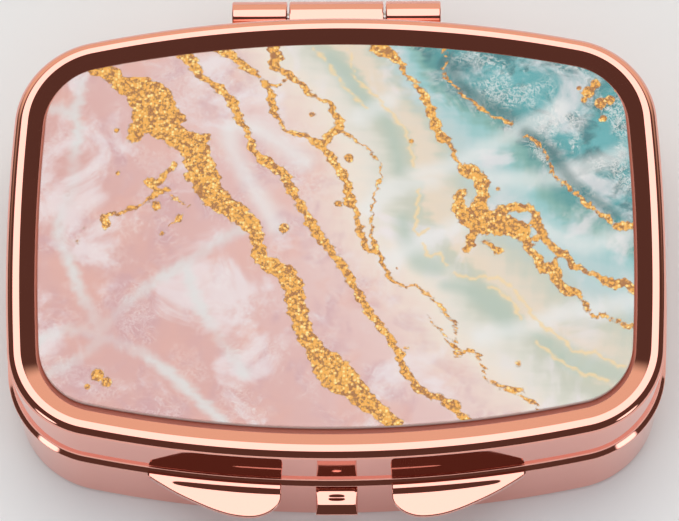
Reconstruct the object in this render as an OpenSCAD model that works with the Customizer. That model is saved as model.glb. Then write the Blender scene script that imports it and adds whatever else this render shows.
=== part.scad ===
// Small hinged pill box with a push-button latch and a framed decorative lid panel.
// Origin: centre of the flat underside. +X along the hinge, +Y towards the hinge, +Z up. Millimetres.

/* [Case] */
// Width of the lid at its widest, without the hinge
case_width = 56; // [44:0.5:80]
// Depth of the lid at its widest, without the hinge and the thumb wings
case_depth = 40.7; // [34:0.1:60]
// Height of the closed box
case_height = 15; // [12:0.1:24]
// Height of the seam between base and lid
seam_height = 8; // [6.5:0.1:14]
// Radius of the gently bowed front and back sides
long_bow_radius = 100.5; // [70:0.5:300]
// Radius of the gently bowed left and right sides
side_bow_radius = 155; // [80:0.5:400]
// Radius of the four corners
corner_radius = 8.4; // [6.5:0.1:12]

/* [Shells] */
// Sheet thickness of both shells
wall = 0.7; // [0.5:0.05:1]
// How far the base wall stands inside the edge of the lid
base_inset = 0.3; // [0.1:0.05:0.6]
// Rounding of the bottom edge of the base
foot_round = 0.9; // [0.4:0.1:1.4]
// Gap between the lid edge and the base edge
seam_gap = 0.1; // [0.05:0.01:0.3]
// Gap between the lid wall and the collar it closes over
collar_gap = 0.3; // [0.15:0.01:0.5]
// Thickness of the collar
collar_wall = 0.5; // [0.3:0.05:0.8]
// How far the collar stands above the seam
collar_rise = 1.6; // [0.8:0.1:2]

/* [Lid top] */
// Flat bright land round the top of the lid
rim_land = 0.3; // [0.2:0.05:1.2]
// Rounding at the outer edge of the land
shoulder_round = 0.65; // [0.4:0.05:1.2]
// How far the side of the lid leans outwards from the shoulder to the lip
side_lean = 0.3; // [0.1:0.05:0.6]
// How far the lip round the lid's lower edge stands out of its side
lip_reach = 0.35; // [0.2:0.05:0.6]
// Thickness of that lip
lip_thickness = 0.45; // [0.3:0.05:0.8]
// Depth of the recess inside the land, whose bare ring slopes down to the panel
recess_depth = 0.75; // [0.4:0.05:1]
// Width of the bare ring between the land and the panel
panel_margin = 1.55; // [0.8:0.05:3]
// Thickness of the sheet under the recess
lid_top_thickness = 0.6; // [0.4:0.05:1]
// Thickness of the adhesive film under the panel
panel_film = 0.1; // [0.05:0.01:0.2]
// Thickness of the printed panel
panel_thickness = 0.2; // [0.1:0.05:0.4]
// Thickness of the clear cover over the print
cover_thickness = 0.46; // [0.2:0.02:0.8]

/* [Mirror] */
// Thickness of the mirror glass
mirror_thickness = 1; // [0.8:0.1:1.5]
// Thickness of the adhesive sheet behind the mirror
mirror_film = 0.15; // [0.05:0.05:0.3]
// Gap between the mirror edge and the lid wall
mirror_margin = 1.3; // [0.8:0.1:4]

/* [Thumb wings] */
// Thickness of the two wings on the lid edge
wing_thickness = 0.8; // [0.5:0.05:1.2]
// How far the wings stand out of the lid wall
wing_reach = 2.7; // [1.5:0.1:4]
// Distance from the middle to the steep end of a wing
wing_start = 4.6; // [3.5:0.1:8]
// Distance from the middle to the fine tip of a wing
wing_end = 15.5; // [11:0.1:17]
// Rounding of the wing's outermost point
wing_nose = 1; // [0.5:0.1:1.5]

/* [Hinge] */
// Distance of the hinge axis behind the lid wall
hinge_setback = 2.55; // [2:0.05:3.5]
// Outside radius of the knuckles
knuckle_radius = 1.5; // [1.1:0.05:1.8]
// Radius of the hinge pin
pin_radius = 0.5; // [0.3:0.05:0.8]
// Radial gap between the pin and the knuckle that turns on it
pin_clearance = 0.05; // [0.02:0.01:0.1]
// Whole length of the hinge barrel
hinge_length = 18.2; // [12:0.2:24]
// Length of the middle knuckle
middle_knuckle = 8.2; // [5:0.1:12]
// Gap between neighbouring knuckles
knuckle_gap = 0.2; // [0.1:0.05:0.4]
// Thickness of the hinge leaves
leaf_thickness = 0.5; // [0.3:0.05:0.8]

/* [Latch] */
// Width of the push button
button_width = 3.46; // [2.5:0.02:5]
// Height of the push button
button_height = 3.1; // [2:0.1:4]
// How far the push button stands out of the lid wall
button_reach = 1.85; // [0.9:0.05:2]
// Sliding gap round the moving latch parts
latch_gap = 0.1; // [0.05:0.01:0.2]
// Travel of the push button
latch_travel = 0.8; // [0.6:0.05:1]
// Width of the latch slider
slider_width = 7.6; // [5:0.1:9]
// Thickness of the latch slider
slider_thickness = 0.6; // [0.4:0.05:0.8]
// Overlap of the hook over the keeper's ledge
hook_overlap = 0.5; // [0.3:0.05:0.6]
// Width of the keeper on the lid
keeper_width = 6.4; // [4:0.1:8]

/* [Tray] */
// Thickness of the tray's walls and floor
tray_wall = 0.8; // [0.6:0.05:1.2]
// Position of the wall between the back compartment and the two front ones
divider_y = 1.5; // [-3:0.1:5]
// How far the tray's rim stands above the seam
tray_rise = 1.2; // [0.4:0.1:1.8]

/* [Hidden] */
$fn = 200;

sliver = 0.01;
seam_lap = 1;
half_width = case_width / 2;
half_depth = case_depth / 2;
lid_floor = case_height - recess_depth;
lid_ceiling = lid_floor - lid_top_thickness;
side_top = -(lip_reach + side_lean);
recess_edge = side_top - shoulder_round - rim_land;
shoulder_low = case_height - shoulder_round;
panel_edge = recess_edge - panel_margin;
base_top = seam_height - seam_gap;
lid_inner = side_top - wall / 2;
collar_edge = lid_inner - collar_gap;
collar_top = seam_height + collar_rise;
tray_edge = collar_edge - collar_wall - sliver;
tray_low = wall + sliver;
tray_top = seam_height + tray_rise;
base_wall = -collar_edge - base_inset;
mirror_top = lid_ceiling - mirror_film;

// The outline is eight tangent arcs: four bowed sides and four corners.
long_centre = half_depth - long_bow_radius;
side_centre = half_width - side_bow_radius;
long_span = long_bow_radius - corner_radius;
side_span = side_bow_radius - corner_radius;
centre_gap = norm([side_centre, long_centre]);
gap_part = (long_span ^ 2 - side_span ^ 2 + centre_gap ^ 2) / (2 * centre_gap);
gap_side = sqrt(long_span ^ 2 - gap_part ^ 2);
gap_unit = [side_centre, -long_centre] / centre_gap;
corner = [gap_unit[0] * gap_part + gap_unit[1] * gap_side,
    long_centre + gap_unit[1] * gap_part - gap_unit[0] * gap_side];
long_turn = atan2(corner[0], corner[1] - long_centre);
side_turn = atan2(corner[1], corner[0] - side_centre);
corner_turn = 90 - long_turn - side_turn;
// Each arc: centre, radius, first angle, sweep.
SIDES = [[[side_centre, 0], side_bow_radius, -side_turn, 2 * side_turn],
    [[0, long_centre], long_bow_radius, 90 - long_turn, 2 * long_turn],
    [[-side_centre, 0], side_bow_radius, 180 - side_turn, 2 * side_turn],
    [[0, -long_centre], long_bow_radius, 270 - long_turn, 2 * long_turn]];
CORNERS = [[[corner[0], corner[1]], corner_radius, side_turn, corner_turn],
    [[-corner[0], corner[1]], corner_radius, 90 + long_turn, corner_turn],
    [[-corner[0], -corner[1]], corner_radius, 180 + side_turn, corner_turn],
    [[corner[0], -corner[1]], corner_radius, 270 + long_turn, corner_turn]];
CORE_STEPS = 8;
ROUND_STEPS = 5;

// Hinge
axis_y = half_depth + hinge_setback;
axis_z = seam_height;
lid_reach = hinge_setback + sliver;
outer_knuckle = (hinge_length - middle_knuckle) / 2 - knuckle_gap;
leaf_drop = 2.4 * leaf_thickness;

// Latch, from the front wall towards the back
front_wall = -half_depth;
keeper_face = front_wall - lid_inner;
keeper_sheet = 0.4;
keeper_sag = long_bow_radius - sqrt(long_bow_radius ^ 2 - (keeper_width / 2) ^ 2);
keeper_front = keeper_face + keeper_sag + sliver;
ledge_low = seam_height + 0.6;
ledge_thickness = 0.5;
ledge_end = keeper_face + 1.1;
slider_front = ledge_end + 0.2;
slider_back = slider_front + slider_thickness;
slider_low = wall + 0.5;
hook_low = ledge_low + ledge_thickness + latch_gap;
hook_height = 0.7;
hook_tip = ledge_end - hook_overlap;
button_top = base_top;
button_low = button_top - button_height;
button_front = front_wall - button_reach;
button_back = -half_depth + base_inset + base_wall - sliver;
stem_width = 0.7 * button_width;
stem_height = 0.6 * button_height;
spring_sheet = 0.2;
spring_depth = 0.7;
pocket_back = slider_back + spring_depth + latch_travel + latch_gap;
guide_sheet = 0.4;
guide_back = pocket_back + guide_sheet;
guide_half = slider_width / 2 + latch_gap + guide_sheet;
notch_half = guide_half + latch_gap;
notch_back = guide_back + latch_gap;

function arc_points(arc, off) = [for (i = [0 : CORE_STEPS - 1])
    arc[0] + (arc[1] + off) * [cos(arc[2] + arc[3] * i / CORE_STEPS),
        sin(arc[2] + arc[3] * i / CORE_STEPS)]];
function outline(off) = [for (i = [0 : 3])
    each concat(arc_points(SIDES[i], off), arc_points(CORNERS[i], off))];

// Sweeps a cross-section, drawn as [offset from the outline, height], along one arc.
module sweep(arc, lap = 0) {
    translate(arc[0])
        rotate_extrude(angle = arc[3] + 2 * lap, start = arc[2] - lap)
            translate([arc[1], 0])
                children();
}

// Solid slab with the case outline, grown or shrunk by off.
module slab(off, low, high) {
    band = corner_radius + off - 0.5;
    for (arc = SIDES)
        sweep(arc)
            translate([off - band, low])
                square([band, high - low]);
    for (arc = CORNERS)
        sweep(arc, seam_lap)
            translate([off - band, low])
                square([band, high - low]);
    translate([0, 0, low])
        linear_extrude(high - low)
            polygon(outline(off - band / 2));
}

// Closed skin through stacked outlines, each given as [offset from the outline, height].
module stack(levels) {
    hull()
        for (level = levels)
            translate([0, 0, level[1]])
                linear_extrude(sliver)
                    polygon(outline(level[0]));
}

// Outside of the lid above its lip: a leaning side, a rounded shoulder and the flat land.
module lid_body() {
    shoulder = [for (i = [0 : ROUND_STEPS])
        [side_top - shoulder_round * (1 - cos(90 * i / ROUND_STEPS)),
            shoulder_low - sliver + shoulder_round * sin(90 * i / ROUND_STEPS)]];
    stack(concat([[-lip_reach, seam_height + lip_thickness / 2]], shoulder));
}

// Cut for the recess: flat under the panel, with a slope from there up to the land.
module recess() {
    stack([[panel_edge - sliver, lid_floor],
        [recess_edge + panel_margin, case_height + recess_depth]]);
}

// Rounded foot under the base wall.
module foot() {
    stack([for (i = [0 : ROUND_STEPS])
        [-base_inset - 2 * sliver - foot_round * (1 - sin(90 * i / ROUND_STEPS)),
            foot_round * (1 - cos(90 * i / ROUND_STEPS))]]);
}

// Plain block between two corners.
module block(from, to) {
    translate(from)
        cube(to - from);
}

// Cylinder along X between two stations, centred on the hinge axis.
module barrel(from, to, radius) {
    translate([from, axis_y, axis_z])
        rotate([0, 90, 0])
            cylinder(h = to - from, r = radius);
}

// Plan of one wing: a long outer bow, a steep inner end and a rounded nose.
module wing_plan() {
    nose_x = wing_start + 2.3;
    nose_y = front_wall - wing_reach + 0.25;
    tip_y = front_wall + 1.5;
    bow_run = wing_end - nose_x;
    bow_drop = tip_y - nose_y;
    bow_radius = (bow_run ^ 2 + bow_drop ^ 2) / (2 * bow_drop) * 1.25;
    difference() {
        union() {
            intersection() {
                translate([nose_x - wing_nose * 0.3, nose_y + bow_radius])
                    circle(bow_radius);
                translate([nose_x - sliver, nose_y - 1])
                    square([bow_run + 1, bow_drop + 1.5]);
            }
            translate([nose_x, nose_y + wing_nose])
                circle(wing_nose);
            polygon([[nose_x - wing_nose * 0.96, nose_y + wing_nose * 0.75],
                [wing_start, tip_y - 0.6], [wing_start, tip_y + 0.4],
                [nose_x + 0.1, tip_y + 0.4], [nose_x + 0.1, nose_y + wing_nose]]);
        }
        translate([0, -long_centre])
            circle(long_bow_radius - wall);
    }
}

module wings() {
    for (side = [0, 1])
        mirror([side, 0, 0])
            translate([0, 0, seam_height])
                linear_extrude(wing_thickness)
                    wing_plan();
}

module lid_shell() {
    color([0.81, 0.57, 0.52])
        difference() {
            union() {
                slab(0, seam_height, seam_height + lip_thickness);
                lid_body();
                wings();
            }
            slab(lid_inner, seam_height - 1, lid_ceiling);
            recess();
        }
}

module panel_film() {
    color([0.9, 0.9, 0.85])
        slab(panel_edge - panel_film, lid_floor, lid_floor + panel_film);
}

module print_panel() {
    color([0.86, 0.72, 0.72])
        slab(panel_edge, lid_floor + panel_film, lid_floor + panel_film + panel_thickness);
}

module clear_cover() {
    low = lid_floor + panel_film + panel_thickness;
    color([0.9, 0.95, 0.95])
        slab(panel_edge, low, low + cover_thickness);
}

module mirror_film() {
    color([0.85, 0.85, 0.8])
        slab(lid_inner - mirror_margin - mirror_film, mirror_top, lid_ceiling);
}

module mirror_glass() {
    color([0.8, 0.85, 0.9])
        slab(lid_inner - mirror_margin, mirror_top - mirror_thickness, mirror_top);
}

// Catch plate inside the lid's front wall, with a ledge pointing inwards.
module keeper() {
    half = keeper_width / 2;
    plate_top = mirror_top - mirror_thickness - 0.6;
    color([0.8, 0.8, 0.8]) {
        block([-half, keeper_front, ledge_low],
            [half, keeper_front + keeper_sheet, plate_top]);
        block([-half, keeper_front, ledge_low],
            [half, ledge_end, ledge_low + ledge_thickness]);
    }
}

module lid_leaf() {
    half = middle_knuckle / 2;
    color([0.81, 0.57, 0.52])
        difference() {
            union() {
                barrel(-half, half, knuckle_radius);
                block([-half, axis_y - lid_reach, axis_z + knuckle_radius - leaf_thickness],
                    [half, axis_y, axis_z + knuckle_radius]);
                intersection() {
                    block([-hinge_length / 2, half_depth - 4, axis_z + 0.25],
                        [hinge_length / 2, half_depth + 1, axis_z + knuckle_radius + leaf_thickness]);
                    slab(leaf_thickness, seam_height, lid_ceiling);
                }
            }
            slab(sliver, seam_height - 2, lid_ceiling + 1);
            barrel(-half - 1, half + 1, pin_radius + pin_clearance);
        }
}

module base_shell() {
    color([0.81, 0.57, 0.52])
        difference() {
            union() {
                slab(-base_inset, foot_round, base_top);
                foot();
            }
            slab(collar_edge, wall, base_top + 1);
            block([-button_width / 2 - latch_gap, front_wall - 1, button_low - latch_gap],
                [button_width / 2 + latch_gap, front_wall + 3, base_top + 1]);
        }
}

module collar() {
    color([0.88, 0.7, 0.62])
        difference() {
            slab(collar_edge - sliver, wall + sliver, collar_top);
            slab(collar_edge - collar_wall, wall - 1, collar_top + 1);
            block([-guide_half, front_wall - 1, button_low - 2 * latch_gap],
                [guide_half, front_wall + 4, collar_top + 1]);
        }
}

// Compartment cut: the tray's inner outline limited to a block.
module compartment(from, to) {
    intersection() {
        slab(tray_edge - tray_wall, tray_low + tray_wall, tray_top + 1);
        block([from[0], from[1], tray_low], [to[0], to[1], tray_top + 2]);
    }
}

module tray() {
    half = tray_wall / 2;
    color([0.93, 0.92, 0.9])
        difference() {
            slab(tray_edge, tray_low, tray_top);
            compartment([-half_width, divider_y + half], [half_width, half_depth]);
            for (side = [0, 1])
                mirror([side, 0, 0])
                    difference() {
                        compartment([half, -half_depth], [half_width, divider_y - half]);
                        block([-1, -half_depth - 1, 0],
                            [notch_half + tray_wall, notch_back + tray_wall, tray_top + 3]);
                    }
            block([-notch_half, -half_depth - 1, -1], [notch_half, notch_back, tray_top + 3]);
        }
}

module base_leaf() {
    half = hinge_length / 2;
    arm_top = axis_z - knuckle_radius + leaf_thickness;
    color([0.81, 0.57, 0.52])
        difference() {
            union() {
                for (side = [-1, 1])
                    translate([side * (half - outer_knuckle / 2), 0, 0]) {
                        barrel(-outer_knuckle / 2, outer_knuckle / 2, knuckle_radius);
                        block([-outer_knuckle / 2, half_depth - 1, arm_top - leaf_thickness],
                            [outer_knuckle / 2, axis_y, arm_top]);
                    }
                intersection() {
                    block([-half, half_depth - 4, arm_top - leaf_drop],
                        [half, half_depth + 1, axis_z - 0.25]);
                    slab(leaf_thickness - base_inset, 0, seam_height);
                }
            }
            slab(sliver - base_inset, -1, base_top + 1);
            barrel(-half - 1, half + 1, pin_radius);
        }
}

module hinge_pin() {
    color([0.75, 0.75, 0.75])
        barrel(-hinge_length / 2, hinge_length / 2, pin_radius - sliver);
}

// Push button: a block with a sloping nose, a dished top and a lower front set back.
module button() {
    half = button_width / 2;
    dish_radius = button_width * 4;
    dish_depth = 0.1;
    nose_slope = 0.5;
    nose_low = button_top - button_height / 3;
    under_low = button_top - button_height / 2;
    under_front = button_front + 0.9;
    color([0.84, 0.62, 0.56])
        difference() {
            union() {
                translate([-half, 0, 0])
                    rotate([90, 0, 90])
                        linear_extrude(button_width)
                            polygon([[button_back, button_low], [under_front, button_low],
                                [under_front, under_low], [button_front, nose_low],
                                [button_front + nose_slope, button_top - 0.15],
                                [front_wall, button_top], [button_back, button_top]]);
                block([-stem_width / 2, button_back - sliver,
                        button_low + (button_height - stem_height) / 2],
                    [stem_width / 2, slider_front - sliver,
                        button_low + (button_height + stem_height) / 2]);
            }
            translate([0, button_front - 1, button_top - dish_depth + dish_radius])
                rotate([-90, 0, 0])
                    cylinder(h = half_depth / 8 + 1, r = dish_radius);
        }
}

// Slider plate with a hook that reaches forward over the keeper's ledge.
module latch_slider() {
    half = slider_width / 2;
    color([0.7, 0.7, 0.72]) {
        block([-half, slider_front, slider_low],
            [half, slider_back, hook_low + hook_height]);
        translate([keeper_width / 2 - 0.6, 0, 0])
            rotate([90, 0, -90])
                linear_extrude(keeper_width - 1.2)
                    polygon([[-slider_front - sliver, hook_low], [-hook_tip, hook_low],
                        [-hook_tip, hook_low + hook_height * 0.3],
                        [-slider_front - sliver, hook_low + hook_height]]);
    }
}

// Bowed leaf spring behind the slider, drawn at its pressed-in depth.
module latch_spring() {
    half = slider_width / 2 - 0.4;
    centre_z = button_low + button_height / 2;
    height = 1.6;
    bend = 1.2;
    color([0.6, 0.6, 0.62])
        translate([0, slider_back + sliver, centre_z - height / 2])
            linear_extrude(height)
                polygon([[-bend, 0], [bend, 0], [half, spring_depth - spring_sheet],
                    [half, spring_depth], [bend - 0.1, spring_sheet],
                    [-bend + 0.1, spring_sheet], [-half, spring_depth],
                    [-half, spring_depth - spring_sheet]]);
}

// Channel bracket that guides the slider and closes the pocket behind it.
module latch_guide() {
    inner = guide_half - guide_sheet;
    top = hook_low + hook_height;
    color([0.65, 0.65, 0.68])
        difference() {
            block([-guide_half + sliver, slider_front - latch_gap, wall + sliver],
                [guide_half - sliver, guide_back, top]);
            block([-inner, slider_front - 1, wall - 1], [inner, pocket_back, top + 1]);
        }
}

lid_shell();
panel_film();
print_panel();
clear_cover();
mirror_film();
mirror_glass();  // mirror
keeper();
lid_leaf();
base_shell();
collar();
tray();
base_leaf();
hinge_pin();
button();
latch_slider();
latch_spring();
latch_guide();
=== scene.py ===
import math

import bpy
import numpy as np
from mathutils import Matrix, Vector


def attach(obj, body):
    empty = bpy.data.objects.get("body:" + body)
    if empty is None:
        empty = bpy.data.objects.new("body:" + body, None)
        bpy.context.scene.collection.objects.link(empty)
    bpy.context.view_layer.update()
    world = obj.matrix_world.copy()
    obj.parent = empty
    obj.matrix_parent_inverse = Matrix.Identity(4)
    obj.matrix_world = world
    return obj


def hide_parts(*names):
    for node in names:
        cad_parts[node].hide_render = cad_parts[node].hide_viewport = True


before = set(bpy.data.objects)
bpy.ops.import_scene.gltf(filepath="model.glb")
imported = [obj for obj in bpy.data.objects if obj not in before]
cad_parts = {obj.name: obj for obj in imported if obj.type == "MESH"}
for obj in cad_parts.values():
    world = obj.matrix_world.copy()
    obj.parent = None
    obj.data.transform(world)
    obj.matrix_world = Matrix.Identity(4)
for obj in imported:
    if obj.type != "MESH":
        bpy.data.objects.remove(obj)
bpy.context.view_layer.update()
print("frame loaded")

# Sizes, all in millimetres
case = dict(width=56.0, depth=40.7, height=15.0, longBow=100.5, sideBow=155.0, corner=8.4)
lid = dict(panelEdge=-3.15, inner=-1.0, ceiling=13.65, ringWidth=1.6, ringSlope=20, coverLow=14.94,
           printTop=14.93, printLow=14.36)
base = dict(inset=0.3, footRound=0.9, inner=-1.3, floor=0.7, top=7.9)
wing = dict(top=8.95, thickness=0.35, edge=0.1, droop=0.15, flat=0.27, rise=0.45, step=0.2,
            start=4.6, length=11.1, fade=14.0, fadeLength=6)
hinge = dict(y=22.9, z=8.0, radius=1.5, length=18.2, middle=8.2, gap=0.2, leaf=0.5, pin=0.5,
             lidLeafFront=20.2, baseLeafFront=19.9, leafInset=0.03, leafEdge=0.06, round=0.14)
latch = dict(width=3.46, back=-19.06, top=7.9, waist=0.08, lip=0.05, dish=0.07, dishAt=-20.95,
             dishLength=0.16, edge=0.08)


def linear(hexColour):
    # sRGB hex to linear red, green, blue, alpha.
    parts = [int(hexColour[i:i + 2], 16) / 255 for i in (1, 3, 5)]
    return tuple(p / 12.92 if p <= 0.04045 else ((p + 0.055) / 1.055) ** 2.4 for p in parts) + (1.0,)


# Outline: eight tangent arcs
def outlineArcs():
    a, b = case["width"] / 2, case["depth"] / 2
    longCentre, sideCentre = b - case["longBow"], a - case["sideBow"]
    longSpan, sideSpan = case["longBow"] - case["corner"], case["sideBow"] - case["corner"]
    gap = math.hypot(sideCentre, longCentre)
    part = (longSpan ** 2 - sideSpan ** 2 + gap ** 2) / (2 * gap)
    side = math.sqrt(longSpan ** 2 - part ** 2)
    ux, uy = sideCentre / gap, -longCentre / gap
    cx, cy = ux * part + uy * side, longCentre + uy * part - ux * side
    longTurn = math.atan2(cx, cy - longCentre)
    sideTurn = math.atan2(cy, cx - sideCentre)
    turn = math.pi / 2 - longTurn - sideTurn
    quarter = math.pi / 2
    return [((sideCentre, 0), case["sideBow"], -sideTurn, 2 * sideTurn, 54),
            ((cx, cy), case["corner"], sideTurn, turn, 44),
            ((0, longCentre), case["longBow"], quarter - longTurn, 2 * longTurn, 84),
            ((-cx, cy), case["corner"], quarter + longTurn, turn, 44),
            ((-sideCentre, 0), case["sideBow"], 2 * quarter - sideTurn, 2 * sideTurn, 54),
            ((-cx, -cy), case["corner"], 2 * quarter + sideTurn, turn, 44),
            ((0, -longCentre), case["longBow"], 3 * quarter - longTurn, 2 * longTurn, 84),
            ((cx, -cy), case["corner"], 3 * quarter + longTurn, turn, 44)]


def pathSamples():
    centre, radius, angle = [], [], []
    for c, r, start, sweep, n in outlineArcs():
        t = start + sweep * np.arange(n) / n
        centre.append(np.tile(c, (n, 1)))
        radius.append(np.full(n, r))
        angle.append(t)
    return np.concatenate(centre), np.concatenate(radius), np.concatenate(angle)


pathCentre, pathRadius, pathAngle = pathSamples()


def outlineAt(offset):
    # point = arc centre + (arc radius + offset) * (cos t, sin t)
    r = (pathRadius + offset)[:, None]
    return pathCentre + r * np.stack([np.cos(pathAngle), np.sin(pathAngle)], 1)


def turtle(start, heading, moves):
    # Profile built from (length, turn in degrees, steps): a turn of 0 is a straight line.
    # Each step goes a chord along the mean heading, so the curve is smooth where pieces meet.
    points, p = [tuple(start)], np.array(start, float)
    h = math.radians(heading)
    for length, turn, steps in moves:
        k = math.radians(turn) / steps
        for _ in range(steps):
            p = p + length / steps * np.array([math.cos(h + k / 2), math.sin(h + k / 2)])
            h += k
            points.append(tuple(p))
    return points


def meshObject(name, verts, faces, smooth=True, scale=0.001):
    mesh = bpy.data.meshes.new(name)
    mesh.from_pydata((np.asarray(verts, float) * scale).tolist(), [], [tuple(map(int, f)) for f in faces])
    mesh.update()
    mesh.polygons.foreach_set("use_smooth", [smooth] * len(mesh.polygons))
    obj = bpy.data.objects.new(name, mesh)
    bpy.context.scene.collection.objects.link(obj)
    return obj


def gridFaces(rows, cols, start=0, closed=True):
    i, j = np.meshgrid(np.arange(rows - 1), np.arange(cols if closed else cols - 1), indexing="ij")
    k = (j + 1) % cols
    quads = np.stack([i * cols + j, (i + 1) * cols + j, (i + 1) * cols + k, i * cols + k], -1)
    return (quads.reshape(-1, 4) + start).tolist()


def closedRings(rings, firstZ, lastZ):
    # Rings of points joined into a skin, closed by a fan to the middle at each end.
    n = len(pathAngle)
    verts = np.concatenate(rings + [[[0, 0, firstZ]], [[0, 0, lastZ]]])
    faces = gridFaces(len(rings), n)
    first, end, last = len(rings) * n, len(rings) * n + 1, (len(rings) - 1) * n
    for j in range(n):
        k = (j + 1) % n
        faces += [(first, j, k), (end, last + k, last + j)]
    return verts, faces


def levelRing(offset, z):
    return np.column_stack([outlineAt(offset), np.full(len(pathAngle), z)])


def carried(profile):
    # Profile [(offset, z)] carried round the outline.
    rings = [levelRing(offset, z) for offset, z in profile]
    return closedRings(rings, profile[0][1], profile[-1][1])


# Materials
def node(tree, kind, settings=None, links=None):
    # Adds a node, sets values on its sockets or properties, and links sockets to it.
    made = tree.nodes.new(kind)
    for key, value in (settings or {}).items():
        if isinstance(key, int) or key in made.inputs:
            made.inputs[key].default_value = value
        else:
            setattr(made, key, value)
    for key, source in (links or {}).items():
        tree.links.new(source, made.inputs[key])
    return made


def newMaterial(name):
    material = bpy.data.materials.new(name)
    material.use_nodes = True
    tree = material.node_tree
    tree.nodes.clear()
    return material, tree


def finishMaterial(tree, shader):
    node(tree, "ShaderNodeOutputMaterial", links={"Surface": shader})


def graphTools(tree):
    # Two helpers for one node tree: a maths node, and a smooth step from a to b.
    def maths(operation, *sources):
        made = node(tree, "ShaderNodeMath", {"operation": operation})
        for i, source in enumerate(sources):
            if isinstance(source, (int, float)):
                made.inputs[i].default_value = source
            else:
                tree.links.new(source, made.inputs[i])
        return made.outputs[0]

    def ramp(value, low, high, a=0.0, b=1.0):
        made = node(tree, "ShaderNodeMapRange", {"From Min": low, "From Max": high,
                    "To Min": a, "To Max": b}, {"Value": value})
        made.interpolation_type = "SMOOTHSTEP"
        return made.outputs["Result"]

    return maths, ramp


def platedMetal(name, look):
    # Polished zinc shell under a copper-pink plating: a mirror with faint wipe marks and fine haze.
    material, tree = newMaterial(name)
    coords = node(tree, "ShaderNodeTexCoord").outputs["Object"]
    haze = node(tree, "ShaderNodeTexNoise", {"Scale": look["hazeScale"], "Detail": 4.0}, {"Vector": coords})
    rough = node(tree, "ShaderNodeMapRange", {"From Min": 0.35, "From Max": 0.75, "To Min": look["roughLow"],
                 "To Max": look["roughHigh"]}, {"Value": haze.outputs["Fac"]})
    grain = node(tree, "ShaderNodeTexNoise", {"Scale": look["grainScale"], "Detail": 2.0}, {"Vector": coords})
    bump = node(tree, "ShaderNodeBump", {"Strength": look["bump"], "Distance": 0.00002},
                {"Height": grain.outputs["Fac"]})
    shader = node(tree, "ShaderNodeBsdfPrincipled", {"Base Color": look["colour"], "Metallic": 1.0},
                  {"Roughness": rough.outputs["Result"], "Normal": bump.outputs["Normal"]})
    finishMaterial(tree, shader.outputs["BSDF"])
    return material


metalLook = dict(colour=(0.93, 0.44, 0.36, 1.0), roughLow=0.03, roughHigh=0.075, hazeScale=160.0,
                 grainScale=900.0, bump=0.03)
steelLook = dict(colour=(0.56, 0.55, 0.54, 1.0), roughLow=0.22, roughHigh=0.38, hazeScale=300.0,
                 grainScale=1500.0, bump=0.15)
roseMetal = platedMetal("copper_pink_plating", metalLook)
stripSteel = platedMetal("strip_steel", steelLook)


def trayPlastic():
    # Injection-moulded white polypropylene: satin, slightly translucent.
    material, tree = newMaterial("moulded_tray_plastic")
    coords = node(tree, "ShaderNodeTexCoord").outputs["Object"]
    grain = node(tree, "ShaderNodeTexNoise", {"Scale": 2500.0, "Detail": 3.0}, {"Vector": coords})
    bump = node(tree, "ShaderNodeBump", {"Strength": 0.12, "Distance": 0.00003},
                {"Height": grain.outputs["Fac"]})
    shader = node(tree, "ShaderNodeBsdfPrincipled", {"Base Color": linear("#EFEDE8"), "Roughness": 0.38,
                  "Subsurface Weight": 0.15, "Subsurface Scale": 0.0015}, {"Normal": bump.outputs["Normal"]})
    finishMaterial(tree, shader.outputs["BSDF"])
    return material


def silveredGlass():
    # Second-surface mirror: silver behind clear glass.
    material, tree = newMaterial("silvered_mirror_glass")
    coords = node(tree, "ShaderNodeTexCoord").outputs["Object"]
    smear = node(tree, "ShaderNodeTexNoise", {"Scale": 120.0, "Detail": 5.0}, {"Vector": coords})
    rough = node(tree, "ShaderNodeMapRange", {"From Min": 0.4, "From Max": 0.8, "To Min": 0.01,
                 "To Max": 0.05}, {"Value": smear.outputs["Fac"]})
    shader = node(tree, "ShaderNodeBsdfPrincipled", {"Base Color": (0.86, 0.88, 0.88, 1.0), "Metallic": 1.0},
                  {"Roughness": rough.outputs["Result"]})
    finishMaterial(tree, shader.outputs["BSDF"])
    return material


def adhesiveFilm():
    # Thin milky double-sided film.
    material, tree = newMaterial("adhesive_film")
    coords = node(tree, "ShaderNodeTexCoord").outputs["Object"]
    cloud = node(tree, "ShaderNodeTexNoise", {"Scale": 400.0, "Detail": 3.0}, {"Vector": coords})
    rough = node(tree, "ShaderNodeMapRange", {"To Min": 0.5, "To Max": 0.8}, {"Value": cloud.outputs["Fac"]})
    shader = node(tree, "ShaderNodeBsdfPrincipled", {"Base Color": linear("#E8E6DC")},
                  {"Roughness": rough.outputs["Result"]})
    finishMaterial(tree, shader.outputs["BSDF"])
    return material


plastic, mirrorGlass, film = trayPlastic(), silveredGlass(), adhesiveFilm()
print("materials made")


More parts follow.
